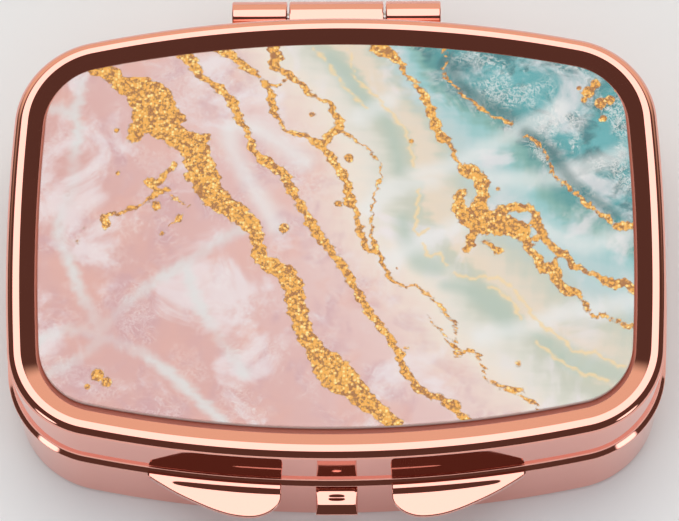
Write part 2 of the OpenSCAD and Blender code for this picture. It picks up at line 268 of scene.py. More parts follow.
# Shells
def lidProfile():
    seat = case["height"] - lid["ringWidth"] * math.tan(math.radians(lid["ringSlope"])) - 0.02
    # from the panel's edge: bare ring, land, rounded shoulder, side, flare, rolled lower edge
    outside = turtle((lid["panelEdge"] - 0.25, seat), 0, [
        (0.20, 0, 2), (0.04, lid["ringSlope"], 4), (lid["ringWidth"], 0, 10), (0.06, -14, 6),
        (0.50, -16, 14), (0.72, -50, 26), (0.14, -30, 8), (5.05, 0, 24),
        (0.30, 46, 16), (0.42, 0, 8), (0.12, -61, 10), (0.55, 0, 4), (0.12, -75, 8)])
    x, z = outside[-1]
    inside = [(x - 0.3, z), (lid["inner"] + 0.08, z), (lid["inner"] + 0.02, z + 0.03),
              (lid["inner"], z + 0.1),
              (lid["inner"], 10.0), (lid["inner"], lid["ceiling"] - 0.3),
              (lid["inner"] - 0.1, lid["ceiling"] - 0.08), (lid["inner"] - 0.3, lid["ceiling"]),
              (lid["inner"] - 0.8, lid["ceiling"])]
    return outside, inside


lidOutside, lidInside = lidProfile()
print("lid profile made, widest offset", round(max(offset for offset, z in lidOutside), 3))


def smoothOpen(points, count):
    # Open curve through the points, evenly stepped per span, cubic between neighbours:
    # b + t(c-a)/2 + t^2(2a-5b+4c-d)/2 + t^3(3b-a-3c+d)/2
    p = np.asarray(points, float)
    p = np.concatenate([p[:1] * 2 - p[1:2], p, p[-1:] * 2 - p[-2:-1]])
    out = []
    for i in range(1, len(p) - 2):
        a, b, c, d = p[i - 1:i + 3]
        t = (np.arange(count) / count)[:, None]
        out.append(b + t * (c - a) / 2 + t ** 2 * (2 * a - 5 * b + 4 * c - d) / 2
                   + t ** 3 * (3 * b - a - 3 * c + d) / 2)
    return np.concatenate(out + [p[-2:-1]])


wingEdge = [
    (4.6, -20.9), (4.66, -21.4), (4.95, -21.9), (5.75, -22.48), (6.9, -22.78), (8.5, -22.66),
    (10.0, -22.25), (11.6, -21.6), (13.2, -20.85), (14.6, -20.05), (15.7, -19.35),
]


def wingPart(side, start):
    # Closed thumb wing: a top sheet and a flat underside over the same grid of points.
    edge = smoothOpen(wingEdge, 24)
    x = wing["start"] + wing["length"] * (1 - np.cos(np.linspace(0, np.pi / 2, 110))) ** 1.2
    outer = np.interp(x, edge[:, 0], edge[:, 1])
    rootInset, bowCentre = 0.5, case["longBow"] - case["depth"] / 2
    radius = case["longBow"] - rootInset
    inner = bowCentre - np.sqrt(radius ** 2 - x ** 2)
    outer = np.minimum(outer, inner - 0.01)
    # rows crowd towards the outer edge so that its rounding is smooth
    t = np.concatenate([np.linspace(0, 0.9, 46), 1 - 0.1 * (1 - np.linspace(0, 1, 12)[1:]) ** 1.6])
    gx = np.repeat(x[None], len(t), 0)
    gy = inner[None] + (outer - inner)[None] * t[:, None]
    away = np.full(gx.shape, 9.0)
    border = np.concatenate([[(wing["start"], inner[0])], edge])
    for a, b in zip(border[:-1], border[1:]):
        d = b - a
        k = np.clip(((gx - a[0]) * d[0] + (gy - a[1]) * d[1]) / max(1e-9, d @ d), 0, 1)
        away = np.minimum(away, np.hypot(gx - a[0] - k * d[0], gy - a[1] - k * d[1]))
    # formed surface: falls by droop * distance from the wall, with a smooth step
    # s^2 (3 - 2s) just off the wall, which fades out towards the wing's tip
    off = np.maximum(0, np.hypot(gx, gy - bowCentre) - case["longBow"])
    s = np.clip((off - wing["flat"]) / wing["rise"], 0, 1)
    taper = np.clip((wing["fade"] - gx) / wing["fadeLength"], 0, 1) ** 0.7
    top = wing["top"] - wing["droop"] * off - wing["step"] * s * s * (3 - 2 * s) * taper
    r = wing["edge"]
    top = top - (r - np.sqrt(np.maximum(0, r * r - np.maximum(0, r - away) ** 2)))
    low = wing["top"] - wing["droop"] * off - wing["step"] - wing["thickness"]
    rows, cols = gx.shape
    sheets = [np.column_stack([side * gx.ravel(), gy.ravel(), z.ravel()]) for z in (top, low)]
    verts = np.concatenate(sheets)
    over = gridFaces(rows, cols, start, closed=False)
    under = [f[::-1] for f in gridFaces(rows, cols, start + rows * cols, closed=False)]
    rim = list(range(cols)) + [i * cols + cols - 1 for i in range(1, rows)]
    rim += [(rows - 1) * cols + j for j in range(cols - 2, -1, -1)]
    rim += [i * cols for i in range(rows - 2, 0, -1)]
    walls = []
    for m, v in enumerate(rim):
        w = rim[(m + 1) % len(rim)]
        walls.append([start + v, start + w, start + rows * cols + w, start + rows * cols + v])
    faces = over + under + walls
    return verts, [f[::-1] for f in faces] if side < 0 else faces


def makeLid():
    verts, faces = carried(lidOutside + lidInside)
    parts, allFaces, count = [verts], list(faces), len(verts)
    for side in (1, -1):
        v, f = wingPart(side, count)
        parts.append(v)
        allFaces += f
        count += len(v)
    obj = meshObject("lid_metal", np.concatenate(parts), allFaces)
    obj.data.materials.append(roseMetal)
    return obj


def makeBase():
    outer = -base["inset"]
    # start under the floor and go round the foot, up the wall, over the rim and down inside
    profile = turtle((outer - base["footRound"] - 0.6, 0), 0, [
        (0.6, 0, 3), (base["footRound"] * math.pi / 2, 90, 24),
        (base["top"] - base["footRound"] - 0.1, 0, 20), (0.157, 90, 8)])
    x, z = profile[-1]
    inner, low = base["inner"], base["floor"]
    profile += [(inner + 0.2, z), (inner + 0.05, z - 0.02), (inner, z - 0.1), (inner, 4.0),
                (inner, low + 0.4), (inner - 0.1, low + 0.1), (inner - 0.35, low), (inner - 1.0, low)]
    verts, faces = carried(profile)
    obj = meshObject("base_metal", verts, faces)
    obj.data.materials.append(roseMetal)
    return obj


lidMetal = makeLid()
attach(lidMetal, "lid")
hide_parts("lid_shell")
baseMetal = makeBase()
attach(baseMetal, "base")
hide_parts("base_shell")
print("shells made")


# Hinge
def turned(profile, start=0, segments=72):
    # Profile [(x, radius)] turned about the hinge axis, along X.
    t = np.arange(segments) * 2 * np.pi / segments
    rings = [np.column_stack([np.full(segments, x), hinge["y"] + r * np.cos(t), hinge["z"] + r * np.sin(t)])
             for x, r in profile]
    verts = np.concatenate(rings)
    return verts, gridFaces(len(profile), segments, start)


def knuckle(low, high, bore, start):
    r, e = hinge["radius"], hinge["round"]
    t = np.linspace(0, np.pi / 2, 7)
    left = [(low + e * (1 - math.sin(a)), r - e * (1 - math.cos(a))) for a in t[::-1]]
    right = [(high - e * (1 - math.sin(a)), r - e * (1 - math.cos(a))) for a in t]
    profile = [(low, bore), (low, bore + 0.3)] + left + right
    profile += [(high, bore + 0.3), (high, bore), (low, bore)]
    return turned(profile[::-1], start)


def box(low, high, start):
    x0, y0, z0 = low
    x1, y1, z1 = high
    verts = np.array([(x, y, z) for z in (z0, z1) for y in (y0, y1) for x in (x0, x1)], float)
    faces = [(0, 2, 3, 1), (4, 5, 7, 6), (0, 1, 5, 4), (2, 6, 7, 3), (0, 4, 6, 2), (1, 3, 7, 5)]
    return verts, [tuple(i + start for i in f) for f in faces]


def gathered(name, makers, smooth=True):
    parts, faces, count = [], [], 0
    for maker in makers:
        v, f = maker(count)
        parts.append(v)
        faces += f
        count += len(v)
    obj = meshObject(name, np.concatenate(parts), faces, smooth)
    obj.data.materials.append(roseMetal)
    return obj


def edgeBevel(obj, width, harden=True):
    bevel = obj.modifiers.new("edges", "BEVEL")
    bevel.width = width * 0.001
    bevel.segments = 3
    bevel.limit_method = "ANGLE"
    bevel.angle_limit = math.radians(40)
    bevel.harden_normals = harden


def makeHinge():
    half, mid = hinge["length"] / 2, hinge["middle"] / 2
    y, z, r, t = hinge["y"], hinge["z"], hinge["radius"], hinge["leaf"]
    inset, lidFront, baseFront = hinge["leafInset"], hinge["lidLeafFront"], hinge["baseLeafFront"]
    lidKnuckle = gathered("lid_knuckle", [lambda s: knuckle(-mid, mid, hinge["pin"] + 0.05, s)])
    lidLeaf = gathered("lid_leaf_plate", [
        lambda s: box((-mid, lidFront, z + r - t), (mid, y, z + r - inset), s)], smooth=False)
    edgeBevel(lidLeaf, hinge["leafEdge"])
    baseKnuckles = gathered("base_knuckles", [
        lambda s: knuckle(-half, -mid - hinge["gap"], hinge["pin"], s),
        lambda s: knuckle(mid + hinge["gap"], half, hinge["pin"], s)])
    baseLeaf = gathered("base_leaf_plate", [
        lambda s: box((-half, baseFront, z - r + inset), (-mid - hinge["gap"], y, z - r + t), s),
        lambda s: box((mid + hinge["gap"], baseFront, z - r + inset), (half, y, z - r + t), s)],
        smooth=False)
    edgeBevel(baseLeaf, hinge["leafEdge"])
    return [lidKnuckle, lidLeaf], [baseKnuckles, baseLeaf]


onLid, onBase = makeHinge()
for pieces, body, replaced in ((onLid, "lid", "lid_leaf"), (onBase, "base", "base_leaf")):
    for piece in pieces:
        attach(piece, body)
        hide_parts(replaced)
print("hinge made")


# Push button
def makeButton():
    half, top, back, cols = latch["width"] / 2, latch["top"], latch["back"], 41
    # side profile: forward along the drooping top, round the nose, down the slope, curl under
    profile = turtle((back, top - 0.02), 0, [
        (1.30, 0, 8), (0.1, -8, 3), (1.08, 0, 12), (0.12, -34, 8), (0.76, 0, 10), (0.30, -138, 12),
        (0.55, 0, 4), (0.2, 90, 6), (1.2, 0, 4), (0.1, -90, 4), (2.1, 0, 6)])
    profile = np.array([(2 * back - y, z) for y, z in profile])
    u = np.linspace(-1, 1, cols)
    verts = []
    for i, (y, z) in enumerate(profile):
        along = min(1.0, max(0.0, (i - 8) / 34))
        wide = half * (1 - latch["waist"] * math.sin(math.pi * along))
        lip = latch["lip"] * u ** 10 if 8 < i < 48 else 0 * u
        # shallow round dish: depth * (1 - (u / 0.5)^2) * exp(-((y - dishAt) / dishLength)^2)
        fall = math.exp(-((y - latch["dishAt"]) / latch["dishLength"]) ** 2)
        dish = latch["dish"] * np.maximum(0, 1 - (u / 0.5) ** 2) * fall * (i < 30)
        verts.append(np.column_stack([wide * u, np.full(cols, y), z - dish + lip]))
    verts = np.concatenate(verts)
    rows = len(profile)
    faces = [tuple(f) for f in gridFaces(rows, cols, 0, closed=False)]
    for col, flip in ((0, False), (cols - 1, True)):
        ring = [i * cols + col for i in range(rows)]
        faces.append(tuple(ring if flip else ring[::-1]))
    backFace = list(range(cols)) + [(rows - 1) * cols + j for j in range(cols - 1, -1, -1)]
    faces.append(tuple(backFace))
    obj = meshObject("push_button", verts, faces)
    obj.data.materials.append(roseMetal)
    edgeBevel(obj, latch["edge"], harden=False)
    return obj


pushButton = makeButton()
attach(pushButton, "latch")
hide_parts("button")

# CAD pieces that keep their shape
for name, material in (
        ("collar", roseMetal), ("keeper", roseMetal), ("tray", plastic), ("mirror", mirrorGlass),
        ("mirror_film", film), ("panel_film", film), ("hinge_pin", stripSteel),
        ("latch_slider", stripSteel), ("latch_spring", stripSteel), ("latch_guide", stripSteel)):
    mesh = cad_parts[name].data
    mesh.materials.clear()
    mesh.materials.append(material)


# Printed panel
# The print, laid out in millimetres on the panel. Gold veins: (x, y, half width).
goldVeins = [
    [(-20.6, 15, 0.5), (-19, 14.5, 0.7), (-18, 13.4, 0.7), (-16.6, 13, 1.3), (-15.5, 11.8, 1.8),
     (-15.2, 10.5, 1.6), (-13.7, 9, 1.0), (-12, 7.7, 1.1), (-11.5, 6.3, 1.2), (-10.9, 4.8, 1.2),
     (-10.3, 3.4, 1.0), (-9, 2.3, 0.9), (-7.8, 1.4, 0.8), (-6.8, 0.3, 0.7), (-6.5, -1, 0.5),
     (-6.3, -2.2, 0.6), (-5, -3.2, 0.7), (-3.8, -4.2, 0.8), (-3.2, -6.6, 0.8), (-2.6, -8.8, 0.7),
     (-1.6, -10.6, 0.8), (-0.2, -12.4, 1.4), (1.2, -13.6, 1.1), (3, -15.4, 0.7), (5, -17, 0.5)],
    [(-16.6, 11, 0.5), (-16.7, 9.7, 0.6), (-17, 8.8, 0.6)],
    [(-14, 11.2, 0.5), (-13.4, 10.4, 0.7)],
    [(-11.8, 8.4, 0.5), (-11.1, 8.5, 0.5)],
    [(-15.2, 10, 0.3), (-15.1, 8.9, 0.3)],
    [(-12.3, 5.1, 0.4), (-11, 5, 0.6)],
    [(-13, 16.4, 0.5), (-12.2, 15.6, 0.5), (-11.4, 14.3, 0.3), (-9.9, 13.2, 0.3), (-8.7, 11.8, 0.4),
     (-8, 10, 0.3), (-7.3, 8.9, 0.2), (-6.9, 7.4, 0.3), (-5.5, 6.1, 0.4), (-4.3, 5.2, 0.4),
     (-3.9, 4.2, 0.4), (-3, 2.6, 0.3), (-1.6, 0, 0.4), (-0.2, -2, 0.3), (0.8, -3.4, 0.35),
     (1.8, -5.4, 0.3), (2.8, -7.2, 0.35), (3.7, -8.4, 0.3), (4.5, -9.6, 0.3), (5.2, -10.8, 0.3),
     (5.6, -12.2, 0.3), (6.2, -13.1, 0.3), (7, -14.1, 0.3), (8.7, -14.8, 0.3), (9.6, -15.3, 0.4),
     (10.3, -16.3, 0.3), (11.2, -16.8, 0.2)],
    [(-10.1, 16.7, 0.3), (-8.9, 16.3, 0.35), (-7.8, 15.2, 0.3), (-6.9, 14.6, 0.2), (-5.7, 13.2, 0.2),
     (-5.4, 12, 0.35), (-5.2, 11, 0.25), (-4.5, 9.8, 0.12), (-3.9, 9, 0.2), (-3, 8.9, 0.2),
     (-1.2, 7.8, 0.3), (-0.1, 6.3, 0.35), (0.9, 4.6, 0.3), (1.2, 2.9, 0.4), (1.8, 1.6, 0.2),
     (1.9, 0.5, 0.25), (2.6, -1.4, 0.25), (3.7, -2.1, 0.15)],
    [(-5.4, 17, 0.4), (-5.1, 16.2, 0.5), (-5.2, 15.2, 0.5)],
    [(-4.8, 15, 0.12), (-3.7, 14.2, 0.25), (-3, 13.6, 0.2), (-2, 12.5, 0.15), (-0.5, 11.7, 0.2),
     (-0.1, 10.8, 0.3), (0.5, 9.6, 0.3), (-0.3, 9, 0.4), (-1.2, 7.8, 0.15)],
    [(-5.7, 13.2, 0.12), (-4.7, 13.6, 0.15), (-3.7, 14.2, 0.15)],
    [(0.6, 9.1, 0.05), (1.6, 8.4, 0.06), (2.6, 7.6, 0.06), (3.6, 6.4, 0.06), (3.8, 5, 0.06),
     (3.3, 3.5, 0.05), (3, 1.1, 0.07), (3, -0.5, 0.1), (3.2, -1.2, 0.2), (3.7, -2.1, 0.15),
     (4.2, -3.6, 0.12), (4.9, -4.5, 0.14), (5.6, -4.9, 0.1), (6.4, -4.8, 0.1), (7.3, -5.4, 0.1),
     (8.2, -6.2, 0.1), (9.2, -7.4, 0.08), (10, -8.6, 0.07), (9.8, -9.3, 0.06), (10.1, -10.3, 0.1),
     (9.9, -11.1, 0.1), (11, -10.6, 0.14), (11.6, -10.9, 0.12), (12.1, -12.1, 0.16),
     (12.6, -13.3, 0.12), (13.7, -13.7, 0.14), (14.5, -14.1, 0.25), (15.1, -14.1, 0.15),
     (15.6, -15.1, 0.12), (16.1, -15.1, 0.15), (16.8, -16, 0.12)],
    [(7.5, -7.4, 0.02), (8.2, -8.3, 0.04), (9, -9.2, 0.05), (9.5, -10.2, 0.06), (9.9, -11.1, 0.08)],
    [(3.6, 17, 0.7), (4.5, 16.3, 0.5), (5.4, 15.6, 0.3), (6, 14.3, 0.15), (6.8, 13.5, 0.2),
     (7.7, 11.9, 0.35), (8.3, 10.2, 0.35), (8.9, 8.6, 0.4), (9.6, 8, 0.2), (10.4, 5.9, 0.15),
     (11, 5.5, 0.6), (12.2, 4.6, 0.6), (12.2, 2.9, 0.5), (11.8, 1.6, 0.9), (12.4, 0.9, 1.1),
     (14.2, 0.5, 0.9), (15.4, 0, 0.8), (15.8, -0.8, 0.4), (16.3, -1.9, 0.35), (16.9, -2.5, 0.3),
     (17.2, -3.3, 0.45), (18.1, -3.6, 0.5), (18.5, -4.7, 0.4), (19.3, -5.4, 0.4), (20.2, -5.7, 0.2),
     (20.7, -6.7, 0.12), (21.3, -7.6, 0.15), (22.4, -7.6, 0.14), (23.4, -8.2, 0.2), (25, -8.8, 0.25)],
    [(10.5, 3.5, 0.4), (10.3, 2.1, 0.5), (11, 1.1, 0.7)],
    [(11.5, 0, 0.4), (11, -1.6, 0.35)],
    [(18.2, -2.6, 0.2), (18.4, -3.6, 0.3)],
    [(12.4, -0.9, 0.12), (12.9, -1.3, 0.2), (13.7, -1.8, 0.22)],
    [(13.6, 1.4, 0.5), (14.2, 2, 0.4), (15.6, 2.1, 0.35), (16.6, 1.7, 0.3), (16.8, 0.6, 0.4),
     (17.8, -1.2, 0.3), (18.6, -1.9, 0.3), (19.3, -2.3, 0.3), (19.7, -3.1, 0.25), (21, -3.7, 0.2),
     (22.1, -4.3, 0.3), (22.9, -4.8, 0.4), (23.9, -4.7, 0.4), (25.2, -5.5, 0.35)],
    [(9.3, 16.8, 0.15), (9.4, 15.4, 0.12), (9.1, 14.6, 0.1), (10.1, 13.2, 0.09), (11.2, 12.1, 0.1),
     (12.3, 11.2, 0.12), (13.4, 10.4, 0.1), (14.4, 10, 0.16), (14.9, 9.6, 0.06)],
    [(15.7, 8.6, 0.05), (16.4, 8.4, 0.12), (17, 8, 0.1), (17.8, 6.8, 0.1), (18.3, 5.1, 0.1),
     (19.6, 3.9, 0.16), (21, 2.4, 0.2), (22.9, 0.9, 0.2), (23.6, 0.3, 0.35), (24.6, 0.5, 0.3),
     (25.4, 0.2, 0.3)],
    [(-13.4, 6.3, 0.12), (-14.2, 5.4, 0.25), (-15.1, 4.5, 0.3), (-15.8, 4.7, 0.2), (-14.9, 3.8, 0.3),
     (-13.9, 3.9, 0.1)],
    [(-15, 3.5, 0.15), (-16.1, 2.7, 0.1), (-17.2, 2.1, 0.16), (-18.6, 1.7, 0.16), (-19.4, 1.4, 0.3),
     (-19.1, 0.6, 0.3)],
    [(-13.9, 3.5, 0.08), (-12.9, 2.7, 0.08), (-12.1, 2.4, 0.08)],
    [(-12.9, 1.5, 0.16), (-13.3, 1.1, 0.14), (-13.9, 0.6, 0.05)],
]
goldSpecks = [
    (-18.5, 9.3, 0.2), (-18.3, 5.4, 0.2), (-22.4, 3.6, 0.12), (-21.5, -0.8, 0.15), (-21, 0.5, 0.12),
    (-14.5, -0.1, 0.16), (-4.3, 0.4, 0.4), (-15, 2.4, 0.35), (-2, 10.7, 0.25), (1.1, 6.7, 0.35),
    (0.2, 2.5, 0.2), (6.4, 8.2, 0.2), (13.6, 3.8, 0.18), (15, -11.7, 0.25), (5.8, -10.3, 0.16),
    (16.7, -0.7, 0.3), (5.1, -3.3, 0.1), (-19.6, -12.6, 0.5), (-18.8, -13.2, 0.4),
    (-20.4, -13.6, 0.25), (21.4, 12.6, 0.5), (22, 13.4, 0.4), (22.4, 11.6, 0.5), (23.2, 11.9, 0.4),
    (21, 11.9, 0.25), (22.6, 10.2, 0.3), (23.8, 12.8, 0.2), (20.6, 13, 0.2),
]
peachLines = [
    [(-1.9, 16.8), (-0.9, 15.9), (-0.2, 14.7), (0.9, 13.1), (2.6, 11.3)],
    [(1.2, 17.3), (1.3, 15.8), (1.5, 14.5), (2.2, 13.4), (3, 12.8), (4, 11.6), (5.4, 9.9), (6.1, 8.5),
     (6.6, 5.9)],
    [(7, 3.7), (6.8, 1.6), (6.7, -0.1), (7.8, 0.1)],
    [(7.4, -1.2), (7.6, -2.1), (8.7, -2.1), (9.2, -3)],
    [(9.9, -3.7), (11.1, -4.2), (12.5, -4.1), (14, -4.5), (15.1, -5.7), (16, -7), (16.8, -8.2),
     (18.2, -9.2), (19.1, -10.1), (19.9, -10.8), (21.3, -10.8), (22.5, -11.6), (23.7, -12.1)],
    [(12.6, -4.9), (13.7, -5.5), (14.8, -6.6), (15.3, -7.9)],
    [(16.6, -9.9), (17.8, -11), (19.2, -12), (20.4, -12.7), (21.5, -12.9), (22.4, -13.4)],
]
greenPools = [
    [(9.2, -4.8, 0.3), (10.8, -5.1, 0.5), (12.5, -6.1, 0.9), (13.7, -7.3, 0.9), (14.2, -8.5, 0.5)],
    [(16.8, -9.2, 0.3), (18.4, -10.5, 0.7), (20, -11.7, 0.8), (21.9, -12.3, 0.8), (23.4, -12.9, 0.6)],
    [(5.6, 1, 0.4), (5.9, -0.4, 0.5), (6.9, -2.6, 0.7), (8.3, -3.2, 0.6)],
    [(-0.4, 16, 0.4), (0.8, 14.5, 0.6), (2, 12.6, 0.5), (4.2, 10.2, 0.5), (5, 8, 0.4),
     (5.4, 5.6, 0.4)],
]
whiteWeb = [
    [(-24.4, 11.6), (-22.3, 10.8), (-21.7, 9.1), (-22, 7), (-22, 4.3), (-23, 1.6), (-23, -0.6),
     (-22, -3), (-21, -5.6), (-19.5, -8.8), (-21, -11), (-24, -12.6)],
    [(-21.6, 13.7), (-21.8, 12), (-22.3, 10.8)],
    [(-19.5, -8.6), (-17.5, -6.6), (-15, -4.4), (-12.5, -2.8), (-10, -1), (-7.8, 0.4)],
    [(-19.4, -9.2), (-16.5, -10.4), (-13.5, -12.6), (-11, -15), (-9, -17)],
    [(-19.6, -9), (-22, -8.6), (-25, -9.6)],
    [(-12.5, -2.8), (-11.5, -6), (-9.5, -9.5), (-7.4, -12.6)],
]
whiteStreaks = [
    [(6.6, 5), (10.3, 6.2), (15.3, 9), (19, 11.2)],
    [(12.9, 4.9), (16, 4.6), (19, 5), (24, 7)],
    [(2, 10.4), (4.6, 12)],
    [(4.5, -2.6), (8, -0.5), (11.5, 1)],
    [(17.5, 0), (20.8, -1.2), (24.4, -0.2)],
    [(12, -9.3), (16, -8.5), (19, -7.3), (24.6, -6.4)],
    [(-5, 0.5), (-9, 8.4), (-7, 9.6), (-2.6, 6.4)],
    [(2.5, 2), (5, 4), (8, 4.6)],
]
shadeLines = [
    [(9.3, 15.6, 0), (10.1, 13.2, 0.1), (12.3, 11.2, 0.2), (14.4, 10, 0.1)],
    [(15.7, 8.6, 0.1), (17.8, 6.8, 0.2), (19.6, 4, 0.1), (23, 1, 0)],
]
# Three guide curves; colour depends on how far a point lies between them.
guideCurves = [
    [(-8, 21), (-6, 17), (-5.2, 15), (-3, 13.4), (-0.5, 10.2), (0.8, 7.4), (1.4, 3.8), (3, -0.3),
     (5.4, -3.5), (7.8, -7), (9.4, -10), (11.9, -11.4), (14.3, -13.6), (19, -18)],
    [(1.5, 20), (2.9, 15.7), (7.1, 10.1), (8.8, 4.6), (12, -0.8), (16.9, -6.2), (21.8, -10.6),
     (28, -15)],
    [(5, 20), (6.8, 17.1), (8.8, 13.8), (11.4, 11.5), (15.5, 8.2), (18.8, 4.6), (22.1, 1.4), (28, -2)],
]


def inkAt(xy, lines, count=8):
    # Greatest (half width - distance) to any line at each point, in mm.
    best = np.full(len(xy), -9.0)
    for line in lines:
        curve = smoothOpen(line, count)
        width = np.abs(curve[:, 2]) if curve.shape[1] > 2 else np.zeros(len(curve))
        for (a, b, w0, w1) in zip(curve[:-1, :2], curve[1:, :2], width[:-1], width[1:]):
            d = b - a
            t = np.clip(((xy - a) @ d) / max(1e-9, d @ d), 0, 1)
            away = np.linalg.norm(xy - a - t[:, None] * d, axis=1)
            best = np.maximum(best, w0 + (w1 - w0) * t - away)
    return best


def sideOf(xy, curve):
    # Signed distance to an open curve, positive on its upper right.
    line = smoothOpen(curve, 6)
    best, sign = np.full(len(xy), 1e9), np.zeros(len(xy))
    for a, b in zip(line[:-1], line[1:]):
        d = b - a
        q = xy - a - np.clip(((xy - a) @ d) / (d @ d), 0, 1)[:, None] * d
        away = np.linalg.norm(q, axis=1)
        nearer = away < best
        best[nearer] = away[nearer]
        sign[nearer] = np.sign(d[0] * q[nearer, 1] - d[1] * q[nearer, 0])
    return best * sign


def bandAt(xy):
    # 0 on the first guide, 1 on the second, 2 on the third; beyond them, distance over 6 or 8 mm.
    first, second, third = [sideOf(xy, curve) for curve in guideCurves]
    between = first / np.maximum(1e-6, first - second)
    later = 1 + second / np.maximum(1e-6, second - third)
    last = np.where(third < 0, later, 2 + third / 8)
    return np.where(first < 0, first / 6, np.where(second < 0, between, last))


printLook = dict(
    bands=[(-3, "#DDADA8"), (-1.6, "#E3BBB8"), (-0.7, "#E9CCC8"), (-0.25, "#EFDCD2"),
           (0.05, "#F0E6DA"), (0.25, "#E8E4DB"), (0.42, "#DCDDD2"), (0.55, "#CCD0C2"),
           (0.66, "#CDD0BE"), (0.76, "#EADCC8"), (0.95, "#E6DBCA"), (1.1, "#D0D3C4"),
           (1.22, "#C4CFC6"), (1.38, "#BFD5D6"), (1.55, "#B6D4D7"), (1.72, "#93CACC"),
           (1.88, "#78B2AB"), (2.0, "#4F9C9C"), (2.12, "#2F9297"), (2.5, "#5CB4BA"), (3.0, "#42A2A8"),
           (4.0, "#42A2A8")],
    # gold: gap colour, mid gold, and a pale painted glint colour for the grain centres
    gold=("#AE6A14", "#F6B438", "#FFEB9A"), peach="#F4DCA8", green="#AFC6BA",
    mauve="#CFA2AB", rose="#E7B3A6", frost="#F1EBEF", teal="#126C73", hair="#F6F5F3", web="#E3E4E4",
    streak="#EEF1F1", shade="#2E6F72", rim="#9A7040", cut="#F3E9E4")


